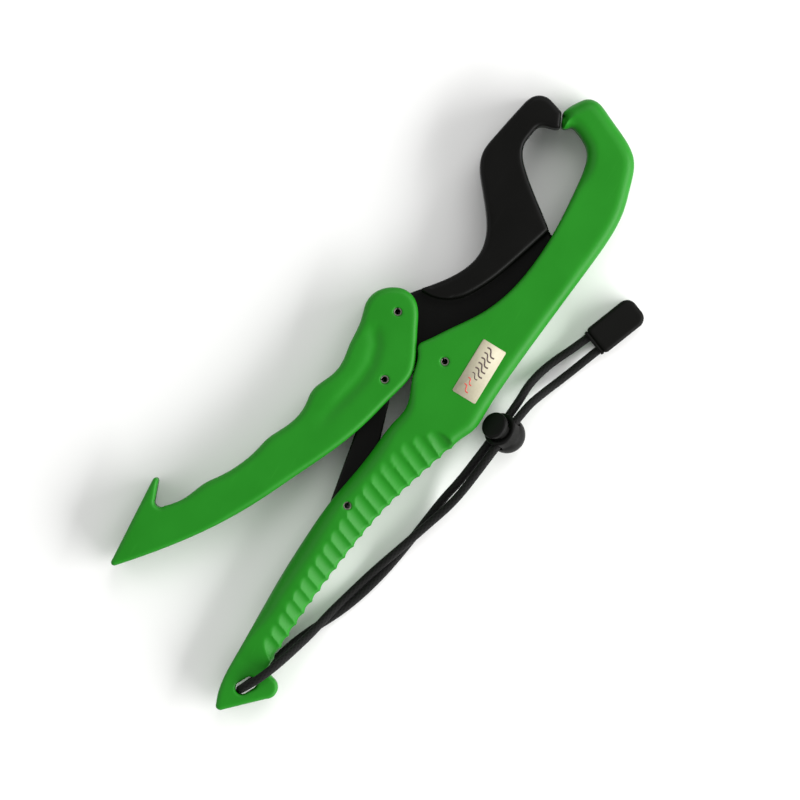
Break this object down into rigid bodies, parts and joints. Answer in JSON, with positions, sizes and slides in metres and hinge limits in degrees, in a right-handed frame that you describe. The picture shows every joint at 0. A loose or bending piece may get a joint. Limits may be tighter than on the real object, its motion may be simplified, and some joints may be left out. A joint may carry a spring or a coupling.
{
  "type": "lip grip",
  "caption": "Floating plastic fish lip grip: hooked jaw, toggle-locked finger lever, ribbed palm handle, and a cord lanyard with a sliding cord lock.",
  "frame": {"origin": "on the surface that the rear face lies on, below the middle of the grip without its lanyard", "axes": "+X from the pommel towards the jaws, +Y from the palm side towards the finger lever, +Z from the rear face to the labelled front face"},
  "size_m": [0.2494, 0.1171, 0.0181],
  "materials": {
    "green_plastic": "satin moulded plastic, bright green",
    "black_plastic": "satin black nylon",
    "pin_steel": "rolled spring steel, slightly dull",
    "label_paper": "cream paper sticker",
    "lock_plastic": "smooth black plastic",
    "cap_rubber": "soft black moulded rubber",
    "cord_fibre": "black braided polyester cord"
  },
  "bodies": {
    "grip": {"body_front_shell": "green_plastic", "body_rear_shell": "green_plastic", "label": "label_paper", "jaw_pivot_pin": "pin_steel", "link_foot_pin": "pin_steel", "lanyard_cord": "cord_fibre", "cord_end_cap": "cap_rubber", "cord_end_plug": "cap_rubber"},
    "jaw": {"moving_jaw": "black_plastic"},
    "lever": {"lever_front_shell": "green_plastic", "lever_rear_shell": "green_plastic", "lever_pivot_pin": "pin_steel", "link_head_pin": "pin_steel"},
    "link": {"toggle_link": "black_plastic"},
    "cord_lock": {"cord_lock_barrel": "lock_plastic", "cord_lock_spring": "pin_steel"},
    "lock_button": {"cord_lock_button": "lock_plastic"}
  },
  "joints": [
    {"name": "jaw_swing", "type": "hinge", "parent": "grip", "child": "jaw", "pos_m": [0.0199, -0.01931, 0.009], "axis": [0, 0, 1], "range_deg": [0, 20]},
    {"name": "lever_swing", "type": "hinge", "parent": "jaw", "child": "lever", "pos_m": [0.0261, 0.00369, 0.009], "axis": [0, 0, 1], "range_deg": [-59.3, 0]},
    {"name": "link_swing", "type": "hinge", "parent": "grip", "child": "link", "pos_m": [-0.0405, -0.01651, 0.009], "axis": [0, 0, 1], "range_deg": [0, 23.8]},
    {"name": "lock_slide", "type": "slide", "parent": "grip", "child": "cord_lock", "axis": [0.9962, -0.0872, 0], "range_m": [-0.008, 0]},
    {"name": "lock_button_press", "type": "slide", "parent": "cord_lock", "child": "lock_button", "axis": [-0.0512, -0.5855, -0.809], "range_m": [0, 0.0022], "stiffness_N_per_m": 400, "springref_m": -0.003, "deforming": ["cord_lock_spring"]}
  ],
  "couplings": [
    {"joint": "lever_swing", "follows": "jaw_swing", "ratio": -2.963},
    {"joint": "link_swing", "follows": "jaw_swing", "ratio": 1.188}
  ]
}
